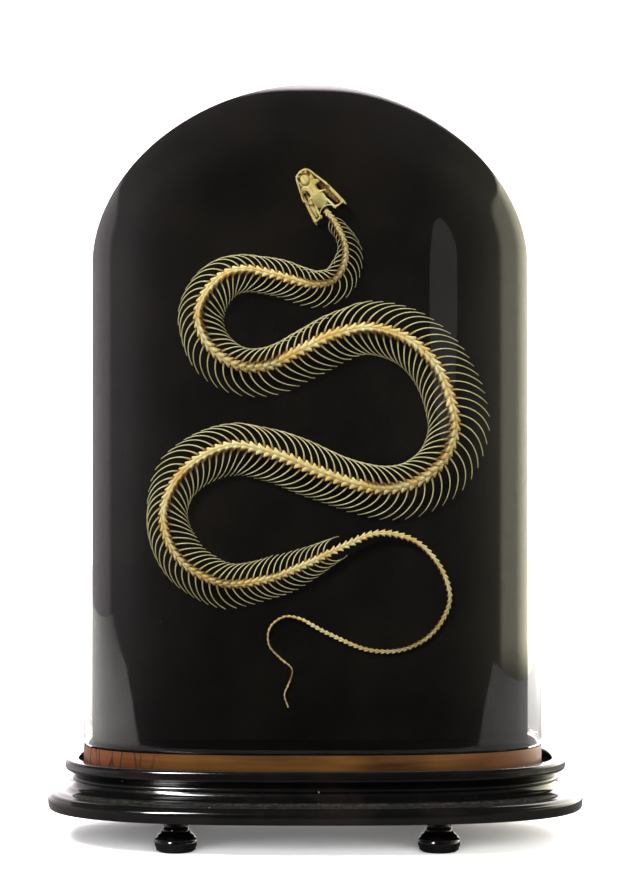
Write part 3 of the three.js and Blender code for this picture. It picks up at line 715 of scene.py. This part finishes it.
# every vertebra between two joints, each bent onto the body's line
def makeColumn(name, first, last, shape, replaced):
    bm, stainAndShade = startBone()
    for k in range(first, last):
        front, length = joints[k], joints[k + 1] - joints[k]
        halfWidth = valueAt(body["halfWidths"], front + length / 2)
        bend = bendAt(front + length / 2)
        inner = -math.copysign(smoothStep(0.004, 0.016, abs(bend)), bend)
        neckward = 0.5 * smoothStep(85, 20, front)
        patchy = 0.62 + 0.34 * smoothStep(-0.3, 0.2, noise.noise(Vector((front * 0.03, 7, 0))))
        known = len(bm.verts)
        bm.from_mesh(shape)
        bm.verts.ensure_lookup_table()
        for vert in bm.verts[known:]:
            x, y, z = vert.co
            # darker in patches on the inner flank of each bend
            innerFlankDark = patchy * smoothStep(0.32, 0.62, x * inner)
            vert[stainAndShade] = max(paintedShadeOf(y, x, z), innerFlankDark, neckward * smoothStep(1.2, 0.6, abs(x)))
            vert.co = columnPoint(front + y * length, x * halfWidth, z * halfWidth) * mm
    addPiece(name, bm, columnBone, replaced, 60, 1)


def ribPlace(distance, side, start, along):
    reach = valueAt(ribs["left" if side > 0 else "right"], distance) - start["out"]
    share = min(ribs["shares"][1], max(ribs["shares"][0], reach / valueAt(ribs["lengths"], distance)))
    mean = math.acos(share)
    outward = smoothStep(0.0, 0.012, side * bendAt(distance))
    halfTurn = ribs["leastBend"] + ribs["bendShare"] * mean * (1 - ribs["outsideSpread"] * outward)
    begin = mean - halfTurn
    heading = begin + 2 * halfTurn * along
    radius = reach / (math.sin(begin + 2 * halfTurn) - math.sin(begin))
    drop = valueAt(body["lifts"], distance) + start["up"] - ribs["tipLift"]
    fall = (1 - math.cos(ribs["plunge"] * along)) / (1 - math.cos(ribs["plunge"]))
    return bodyPoint(distance + start["back"] + radius * (math.cos(begin) - math.cos(heading)),
                     side * (start["out"] + radius * (math.sin(heading) - math.sin(begin))),
                     start["up"] - drop * fall)


def makeRibs(name, first, last, sides, replaced):
    bm, stainAndShade = startBone()
    count = ribs["rings"]
    for k in range(max(first, body["ribFree"]), last):
        length = joints[k + 1] - joints[k]
        halfWidth = valueAt(body["halfWidths"], joints[k])
        start = {"out": 0.76 * halfWidth, "up": -0.12 * halfWidth, "back": 0.36 * length}
        for side in sides:
            jitter = 0.04 * noise.noise(Vector((k * 0.37, side, 0)))
            places = [ribPlace(joints[k], side, start, i / count * (0.98 + jitter)) for i in range(count + 1)]
            frames = []
            for i, place in enumerate(places):
                ahead = places[min(i + 1, count)] - places[max(i - 1, 0)]
                radius = valueAt(ribs["radii"], i / count) * valueAt(ribs["slender"], joints[k])
                frames.append(frameAt(place * mm, ahead, Vector((0, 1, 0)), radius * mm, radius * 0.9 * mm))
            verts = sweep(bm, frames, ribs["sides"])
            for number, vert in enumerate(verts):
                vert[stainAndShade] = 0.9 * smoothStep(0.3, 0.0, (number // ribs["sides"]) / count)
    addPiece(name, bm, ribBone, replaced, 80)


trunkShape = makeVertebra(1.0)
tailShape = makeVertebra(1.15)
neckEnd = jointNear(body["neck"])
trunkEnds = [neckEnd] + [jointNear(cut) for cut in body["trunkCuts"]] + [jointNear(body["ribbed"])]
tailEnds = [jointNear(body["ribbed"])] + [jointNear(cut) for cut in body["tailCuts"]] + [len(joints) - 1]
makeColumn("neckVertebrae", 0, neckEnd, trunkShape, ["neck"])
makeRibs("neckRibs", 0, neckEnd, (1, -1), ["neck"])
for i, (first, last) in enumerate(zip(trunkEnds, trunkEnds[1:]), 1):
    makeColumn(f"trunkVertebrae_{i}", first, last, trunkShape, [f"trunk_{i}_left", f"trunk_{i}_right"])
    makeRibs(f"trunkRibs_{i}_left", first, last, (1,), [f"trunk_{i}_left"])
    makeRibs(f"trunkRibs_{i}_right", first, last, (-1,), [f"trunk_{i}_right"])
for i, (first, last) in enumerate(zip(tailEnds, tailEnds[1:]), 1):
    makeColumn(f"tailVertebrae_{i}", first, last, tailShape, [f"tail_{i}"])
print("backbone and ribs made")


# the skull, in its own axes in mm: x to the animal's left, y back from the snout, z up
skull = {
    "turn": math.radians(35), "roll": math.radians(17), "place": (-9.2, -7.3, 428.2),
    # distance back, half width, height of the top and of the bottom
    "stations": [(0.0, 0.9, 2.8, 2.1), (0.3, 1.9, 3.1, 1.9), (1.1, 3.3, 3.7, 1.8), (2.6, 4.4, 4.3, 1.8),
                 (5.2, 5.0, 4.9, 1.8), (8.5, 5.0, 5.4, 1.9), (12.0, 4.6, 5.9, 2.1), (15.5, 3.9, 6.2, 2.2),
                 (18.5, 4.4, 6.8, 2.1), (21.5, 4.8, 7.2, 2.0), (24.5, 4.5, 6.9, 2.0), (27.0, 3.4, 6.1, 2.2),
                 (28.2, 1.6, 5.2, 2.8)],
    "sides": 40,
    "nasal": {"middle": (0.6, 6.7), "radii": (3.3, 3.8), "groove": 1.1, "width": 0.17, "rise": 0.35},
    # middle, radii, depth and painted shade of each hollow, on both sides
    "hollows": [((3.9, 4.6), (1.1, 2.6), 1.6, 1.0), ((4.6, 15.2), (1.9, 3.2), 1.6, 1.0),
                ((1.5, 2.0), (1.9, 0.7), 0.8, 0.9), ((3.9, 9.4), (1.5, 1.1), 0.5, 0.55)],
    "crossSutures": [(17.6, -0.12), (11.2, 0.25)], "ridges": [(18, 3.2), (22, 1.8), (27, 0.2)],
    # bars as rows of left, back, height, half width, half height
    "prefrontal": [(2.6, 11.3, 5.4, 1.9, 0.5), (4.4, 11.4, 5.1, 1.8, 0.6), (5.8, 11.8, 4.3, 1.3, 0.6),
                   (6.7, 12.2, 3.6, 0.6, 0.6)],
    "postorbital": [(3.4, 18.6, 6.3, 0.9, 0.4), (5.0, 18.9, 6.0, 0.7, 0.45), (6.3, 19.3, 5.2, 0.5, 0.5),
                    (7.2, 19.7, 4.2, 0.35, 0.4)],
    "supratemporal": [(3.5, 22.6, 5.7, 0.6, 0.3), (4.3, 25.0, 5.6, 0.9, 0.4), (5.1, 28.0, 5.5, 0.85, 0.4),
                      (5.6, 31.0, 5.3, 0.8, 0.45), (5.7, 33.0, 5.0, 0.5, 0.4)],
    "quadrate": [(5.0, 31.6, 5.0, 0.8, 0.7), (6.6, 32.2, 4.6, 0.85, 0.6), (8.4, 32.4, 4.1, 0.6, 0.6),
                 (10.0, 32.3, 3.7, 0.7, 0.65), (11.4, 32.1, 3.4, 1.1, 0.8)],
    "maxilla": [(2.6, 0.9, 2.5, 0.4, 0.5), (4.0, 1.6, 2.6, 0.55, 0.7), (5.2, 3.4, 2.7, 0.6, 0.8),
                (6.2, 6.6, 2.8, 0.6, 0.85), (7.5, 10.6, 2.9, 0.75, 0.85), (8.4, 13.4, 3.0, 0.6, 0.7),
                (9.2, 15.8, 3.0, 0.75, 0.7), (9.7, 18.0, 3.0, 0.5, 0.5)],
    "ectopterygoid": [(9.5, 16.8, 3.1, 0.8, 0.35), (8.8, 18.6, 2.9, 0.5, 0.35), (7.9, 20.6, 2.6, 0.5, 0.35),
                      (7.0, 22.6, 2.3, 0.8, 0.35)],
    "pterygoid": [(5.3, 12.4, 1.5, 0.4, 0.4), (5.6, 15.0, 1.5, 0.6, 0.45), (6.0, 18.0, 1.6, 0.7, 0.4),
                  (6.9, 21.5, 2.0, 1.25, 0.35), (7.4, 24.5, 2.1, 1.35, 0.3), (7.9, 27.5, 2.0, 1.0, 0.3),
                  (8.5, 30.6, 1.9, 0.45, 0.3)],
    "palatine": [(4.4, 5.0, 1.5, 0.4, 0.35), (5.0, 8.0, 1.5, 0.55, 0.4), (5.3, 11.0, 1.5, 0.5, 0.4),
                 (5.4, 13.2, 1.5, 0.45, 0.35)],
    "palatineBridge": [(7.7, 13.1, 2.5, 0.6, 0.35), (6.5, 13.1, 2.0, 0.5, 0.3), (5.3, 13.3, 1.5, 0.6, 0.3)],
    "dentary": [(1.3, 0.3, 0.7, 0.4, 0.5), (2.8, 0.9, 0.75, 0.5, 0.6), (4.5, 2.7, 0.8, 0.6, 0.7),
                (5.6, 5.6, 0.8, 0.6, 0.75), (6.5, 9.0, 0.85, 0.65, 0.8), (7.9, 13.0, 0.9, 0.7, 0.85),
                (9.0, 16.2, 0.95, 0.75, 0.9)],
    "compound": [(8.2, 14.6, 1.0, 0.5, 0.6), (9.0, 18.0, 1.05, 1.0, 0.95), (9.7, 22.0, 1.15, 1.15, 1.1),
                 (10.2, 25.0, 1.2, 1.2, 1.2), (10.7, 28.6, 1.2, 1.15, 1.1), (11.1, 31.2, 1.2, 1.35, 1.1),
                 (11.5, 32.8, 1.15, 0.9, 0.8), (12.0, 34.6, 1.1, 0.3, 0.4)],
    # a flat sheet between the palate bars, dark all over: painted shade of the gap between them
    "gapShadeSheet": [(5.0, 10.5, 1.35, 1.0, 0.2), (5.9, 15.0, 1.35, 1.9, 0.2), (6.7, 19.0, 1.4, 2.4, 0.2),
            (7.4, 23.0, 1.5, 2.3, 0.2), (8.2, 27.0, 1.5, 1.5, 0.2), (8.8, 29.6, 1.5, 0.7, 0.2)],
    "crest": [(5.2, 30.4, 5.5, 0.3, 0.3), (3.6, 28.9, 5.6, 0.35, 0.35), (1.8, 28.1, 5.7, 0.35, 0.35),
              (0.0, 27.8, 5.8, 0.4, 0.4), (-1.8, 28.1, 5.7, 0.35, 0.35), (-3.6, 28.9, 5.6, 0.35, 0.35),
              (-5.2, 30.4, 5.5, 0.3, 0.3)],
    "condyle": [(0.0, 26.6, 3.9, 1.7, 1.2), (0.0, 28.4, 3.9, 1.4, 1.1), (0.0, 29.6, 3.8, 1.1, 0.9)],
}


def mirrored(rows):
    return [(-row[0], *row[1:]) for row in rows]


# rows joined by a smooth curve through each of them
def smoothRows(rows, steps):
    padded = [rows[0], *rows, rows[-1]]
    made = []
    for p0, p1, p2, p3 in zip(padded, padded[1:], padded[2:], padded[3:]):
        for k in range(steps):
            t = k / steps
            made.append(tuple(
                b + t * (c - a) / 2 + t * t * (2 * a - 5 * b + 4 * c - d) / 2
                + t ** 3 * (3 * (b - c) + d - a) / 2
                for a, b, c, d in zip(p0, p1, p2, p3)))
    return made + [tuple(rows[-1])]


def skullMatrix():
    turn, roll = skull["turn"], skull["roll"]
    back = Vector((math.sin(turn), 0, -math.cos(turn)))
    flatLeft = Vector((-math.cos(turn), 0, -math.sin(turn)))
    crown = Vector((0, -math.cos(roll), 0)) + flatLeft * math.sin(roll)
    left = back.cross(crown)
    basis = Matrix((left, back, crown)).transposed().to_4x4()
    return Matrix.Translation(Vector(skull["place"]) * mm) @ basis @ Matrix.Scale(mm, 4)


# a bone drawn along rows, with rounded ends and painted shade on its lower parts
def addBar(bm, rows, stainAndShade, dark, sides=10, steps=4):
    dense = smoothRows(rows, steps)
    frames = []
    for i, row in enumerate(dense):
        here = Vector(row[:3])
        along = Vector(dense[min(i + 1, len(dense) - 1)][:3]) - Vector(dense[max(i - 1, 0)][:3])
        frames.append(frameAt(here, along, Vector((0, 0, 1)).cross(along), row[3], row[4]))
    for end, sign in ((frames[0], -1), (frames[-1], 1)):
        width = min(dense[0 if sign < 0 else -1][3:])
        cap = end @ Matrix.Translation((0, 0, sign * 0.5 * width)) @ Matrix.Diagonal((0.55, 0.55, 1, 1))
        frames.insert(0 if sign < 0 else len(frames), cap)
    for vert in sweep(bm, frames, sides):
        # painted shade, deeper lower down, with random streaks
        low = smoothStep(2.3, 1.0, vert.co.z)
        streak = noise.noise(vert.co * 0.45) * 0.5
        vert[stainAndShade] = min(1, max(0, dark + 0.35 * low + streak))


def shapeCranium(bm, stainAndShade, veil):
    rows = smoothRows(skull["stations"], 8)
    count = len(rows)
    frames = [frameAt(Vector((0, i, 0)), Vector((0, 1, 0)), Vector((1, 0, 0)), 1, 1) for i in range(count)]
    nasal = skull["nasal"]
    for vert in sweep(bm, frames, skull["sides"]):
        y, halfWidth, top, bottom = rows[round(vert.co.y)]
        squareness = 2.6 if y < 17 else 2.1
        x = halfWidth * rounded(vert.co.x, squareness)
        z = (top + bottom) / 2 + (top - bottom) / 2 * rounded(vert.co.z, squareness)
        upper = smoothStep(-0.1, 0.35, vert.co.z)
        dark, drop = 0.06, 0.0
        # the groove round the nasal capsule, deepest at the snout and darkened with painted shade
        ring = math.hypot(*((at - middle) / radius
                            for at, middle, radius in zip((x, y), nasal["middle"], nasal["radii"])))
        groove = math.exp(-((ring - 1.0) / nasal["width"]) ** 2)
        gap = smoothStep(5.4, 3.2, y + 0.5 * x)
        drop += nasal["groove"] * groove * (1 + 0.9 * gap)
        drop -= nasal["rise"] * smoothStep(1.0, 0.6, ring)
        dark = max(dark, (0.8 + 0.2 * gap) * groove)
        for (sideways, back), (wide, long), depth, darkness in skull["hollows"]:
            reach = math.hypot((abs(x) - sideways) / wide, (y - back) / long)
            inside = max(0.0, 1 - reach ** 2)
            drop += depth * inside
            dark = max(dark, darkness * min(1, 1.6 * inside))
        # the suture along the middle and two across it
        suture = math.exp(-(x / 0.16) ** 2)
        seam = suture * (smoothStep(2.5, 3.5, y) * smoothStep(18, 17, y))
        cross = sum(math.exp(-((y - at + slant * abs(x)) / 0.2) ** 2) for at, slant in skull["crossSutures"])
        drop += 0.22 * seam + 0.16 * min(1, cross)
        dark = max(dark, 0.5 * seam, 0.35 * min(1, cross))
        # the two ridges of the braincase, which meet behind
        ridge = math.exp(-((abs(x) - valueAt(skull["ridges"], y)) / 0.35) ** 2)
        drop -= 0.3 * ridge * smoothStep(18, 19.5, y)
        thin = smoothStep(15.5, 21, y) * smoothStep(28.5, 24, y) * smoothStep(5.2, 1.8, abs(x))
        waist = math.exp(-((y - 15.2) / 2.2) ** 2) * smoothStep(0.75, 0.2, abs(vert.co.z))
        x -= math.copysign(0.9 * waist, x) if abs(x) > 2 else 0
        vert.co = Vector((x, y, z - drop * upper))
        # painted shade on the underside and in the waist; darker also towards the back end
        low = smoothStep(0.0, -0.6, vert.co.z - 3.2)
        vert[stainAndShade] = max(dark * upper, 0.6 * low, 0.5 * waist, 0.8 * smoothStep(26.5, 28, y))
        vert[veil] = thin * upper


def makeSkull():
    place = skullMatrix()

    def finish(bm, name, replaced):
        bmesh.ops.transform(bm, matrix=place, verts=bm.verts)
        bmesh.ops.recalc_face_normals(bm, faces=bm.faces)
        addPiece(name, bm, skullBone, replaced, 60, 1)

    bm, stainAndShade = startBone()
    veil = bm.verts.layers.float.new("veil")
    shapeCranium(bm, stainAndShade, veil)
    addBar(bm, skull["crest"], stainAndShade, 0.05)
    addBar(bm, skull["condyle"], stainAndShade, 0.9)
    for key in ("prefrontal", "postorbital", "supratemporal", "quadrate"):
        addBar(bm, skull[key], stainAndShade, 0.08)
        addBar(bm, mirrored(skull[key]), stainAndShade, 0.08)
    finish(bm, "snakeCranium", ["cranium"])
    for name, side in (("left", 1), ("right", -1)):
        rowsOf = (lambda rows: rows) if side > 0 else mirrored
        bm, stainAndShade = startBone()
        addBar(bm, rowsOf(skull["maxilla"]), stainAndShade, 0.1)
        # the right side's palate bars are darker: painted shade on the side turned from the light
        for key in ("ectopterygoid", "pterygoid", "palatine", "palatineBridge"):
            addBar(bm, rowsOf(skull[key]), stainAndShade, 0.3 if side > 0 else 0.85)
        # the sheet between the bars is painted shade
        addBar(bm, rowsOf(skull["gapShadeSheet"]), stainAndShade, 1.0)
        finish(bm, "upperJaw_" + name, ["upper_jaw_" + name])
        bm, stainAndShade = startBone()
        for key in ("dentary", "compound"):
            addBar(bm, rowsOf(skull[key]), stainAndShade, 0.05)
        finish(bm, "lowerJaw_" + name, ["lower_jaw_" + name])


makeSkull()
print("skull made")


tableTop = {
    # in m: the front edge from left to right, the back edge, and the gap under the feet
    "columns": [(-2.1, -0.5), (-1.45, -0.6), (-1.2, -0.66), (-0.83, -0.56), (-0.47, -0.385), (-0.2, -0.24),
                (0.2, -0.24), (0.5, -0.47), (0.77, -0.64), (1.18, -0.79)],
    "back": 3.3, "below": 0.0002, "white": "#f4f4f4",
}


# the table's front edge lies before the camera's view, and the glass mirrors where it ends
def makeFloor():
    columns = tableTop["columns"]
    bm = bmesh.new()
    bmesh.ops.create_grid(bm, x_segments=len(columns) - 1, y_segments=1, size=1.0)
    for vert in bm.verts:
        x, front = columns[round((vert.co.x + 1) / 2 * (len(columns) - 1))]
        vert.co = Vector((x, front if vert.co.y < 0 else tableTop["back"], -tableTop["below"]))
    floor = placeObject("tableTop", meshFrom(bm, "tableTop"))
    material, tree, shader, _ = newMaterial("matt white table top")
    axes = addNode(tree, "SeparateXYZ", Vector=objectPoint(tree)).outputs
    aside = addNode(tree, "Math", {"operation": "ABSOLUTE"}, i0=axes["X"])
    # painted reflection: in the gloss of the parts the table top shows darker than to the camera, most
    # towards the front, the middle and the right
    deep = addNode(tree, "MapRange", Value=axes["Y"], From_Min=-0.5, From_Max=1.0, To_Min=0.2, To_Max=0.85)
    near = addNode(tree, "MapRange", Value=aside, From_Min=0.3, From_Max=0.8, To_Min=0.3, To_Max=1.0)
    right = addNode(tree, "MapRange", Value=axes["X"], From_Min=-0.3, From_Max=0.3, To_Min=1.0, To_Max=0.6)
    mirrored = multiplied(tree, deep, near, right)  # how bright the gloss of the part shows it
    inGloss = addNode(tree, "LightPath").outputs["Is Glossy Ray"]
    base = addNode(tree, "Mix", rgba, i0=inGloss, i6=tableTop["white"], i7=mirrored)
    feed(shader, Base_Color=base, Roughness=0.9, Specular_IOR_Level=0.1)
    floor.data.materials.append(material)
    return floor


lamps = {
    # place, aim and size in m; a mirrored lamp shows in gloss, and one with lights shines on that alone
    "keyLamp": {"place": (-0.95, -1.35, 1.55), "aim": (0, 0, 0.25), "size": (0.45, 0.45), "watts": 58,
                "colour": (1.0, 0.96, 0.88)},
    "fillLamp": {"place": (1.1, -1.5, 0.9), "aim": (0, 0, 0.25), "size": (0.8, 0.8), "watts": 4},
    "stripLamp": {"place": (0.8, -1.55, 0.44), "aim": (0, 0, 0.3), "size": (0.34, 0.38), "watts": 0.125,
                  "shape": "ELLIPSE", "mirrored": True},
    "backLamp": {"place": (0.0, 1.9, 2.3), "aim": (0, 1.7, 0), "size": (4.5, 2.4), "watts": 140},
    "overFloorLamp": {"place": (0.0, 0.2, 2.2), "aim": (0, 0.2, 0), "size": (2.5, 1.0), "watts": 14},
    "frontFloorLamp": {"place": (0.0, -1.3, 0.36), "aim": (0, 0, 0.36), "size": (3.0, 0.7), "watts": 80,
                       "lights": "floor"},
    "glintLamp": {"place": (-0.97, -1.45, 1.3), "aim": (0, 0, 0.05), "size": (0.34, 1.6), "watts": 150,
                  "mirrored": True, "lights": "plinth"},
}


def makeLamps(lit):
    for name, look in lamps.items():
        data = bpy.data.lights.new(name, "AREA")
        data.shape = look.get("shape", "RECTANGLE")
        data.size, data.size_y = look["size"]
        data.energy = look["watts"]
        data.color = look.get("colour", (1.0, 1.0, 1.0))
        lamp = placeObject(name, data)
        lamp.location = look["place"]
        toward = Vector(look["aim"]) - Vector(look["place"])
        lamp.rotation_euler = toward.to_track_quat("-Z", "Y").to_euler()
        lamp.visible_glossy = look.get("mirrored", False)
        lamp.visible_transmission = False
        lamp.visible_camera = False
        if "lights" in look:
            receivers = bpy.data.collections.new("lit by " + name)
            for piece in lit[look["lights"]]:
                receivers.objects.link(piece)
            lamp.light_linking.receiver_collection = receivers


# white surroundings at the sides and behind, a dark room in front and overhead
def makeWorld():
    world = bpy.data.worlds.new("studio")
    world.use_nodes = True
    bpy.context.scene.world = world
    tree = world.node_tree
    tree.nodes.clear()
    smooth = {"interpolation_type": "SMOOTHSTEP"}
    direction = addNode(tree, "TexCoord").outputs["Generated"]
    x, y, z = addNode(tree, "SeparateXYZ", Vector=direction).outputs
    high = addNode(tree, "MapRange", smooth, Value=z, From_Min=0.25, From_Max=0.7, To_Min=0.0, To_Max=0.75)
    leftward = addNode(tree, "MapRange", Value=x, From_Min=-0.5, From_Max=0.5, To_Min=0.2, To_Max=0.5)
    edge = addNode(tree, "Math", {"operation": "SUBTRACT"}, i0=high, i1=leftward)
    past = addNode(tree, "Math", {"operation": "SUBTRACT"}, i0=y, i1=edge)
    beyond = addNode(tree, "MapRange", smooth, Value=past, From_Min=0.0, From_Max=0.1, To_Min=0.0,
                     To_Max=1.0)
    strength = addNode(tree, "MapRange", Value=x, From_Min=-0.9, From_Max=0.9, To_Min=0.4, To_Max=1.0)
    brightest = addNode(tree, "MapRange", Value=x, From_Min=-0.6, From_Max=0.6, To_Min=2.0, To_Max=9.0)
    behind = addNode(tree, "MapRange", Value=y, From_Min=-0.12, From_Max=0.55, To_Min=1.0,
                     To_Max=brightest)
    above = addNode(tree, "MapRange", smooth, Value=z, From_Min=-0.1, From_Max=-0.08, To_Min=0.15,
                    To_Max=1.0)
    front = addNode(tree, "MapRange", smooth, Value=y, From_Min=-0.95, From_Max=-0.4, To_Min=0.03,
                    To_Max=0.13)
    overhead = addNode(tree, "MapRange", Value=z, From_Min=0.1, From_Max=0.8, To_Min=1.0, To_Max=0.45)
    below = addNode(tree, "MapRange", Value=z, From_Min=-0.2, From_Max=0.0, To_Min=0.25, To_Max=1.0)
    aside = addNode(tree, "Math", {"operation": "ABSOLUTE"}, i0=x)
    sideward = addNode(tree, "Math", {"operation": "MULTIPLY_ADD"}, i0=aside, i1=1.8, i2=1.0)
    white = multiplied(tree, strength, behind, beyond, above)
    room = multiplied(tree, front, overhead, below, sideward)
    lit = addNode(tree, "Math", {"operation": "ADD"}, i0=white, i1=room)
    path = addNode(tree, "LightPath").outputs
    soft = multiplied(tree, path["Is Diffuse Ray"], 0.27)
    least = addNode(tree, "Math", {"operation": "MAXIMUM"}, i0=soft, i1=path["Is Camera Ray"])
    level = addNode(tree, "Math", {"operation": "MAXIMUM"}, i0=lit, i1=least)
    khaki = addNode(tree, "MapRange", Value=x, From_Min=0.3, From_Max=0.8, To_Min=0.0, To_Max=1.0)
    unseen = addNode(tree, "Math", {"operation": "SUBTRACT", "use_clamp": True}, i0=khaki,
                     i1=path["Is Camera Ray"])
    rosy = addNode(tree, "Mix", rgba, i0=path["Is Camera Ray"], i6="#fcf2f8",
                   i7="#ffffff")
    tint = addNode(tree, "Mix", rgba, i0=unseen, i6=rosy, i7="#f6f0d6")
    light = addNode(tree, "Background", Color=tint, Strength=level)
    addNode(tree, "OutputWorld", Surface=light)


floor = makeFloor()
makeLamps({"floor": [floor], "plinth": lacquered})
makeWorld()
print("floor and lights made")
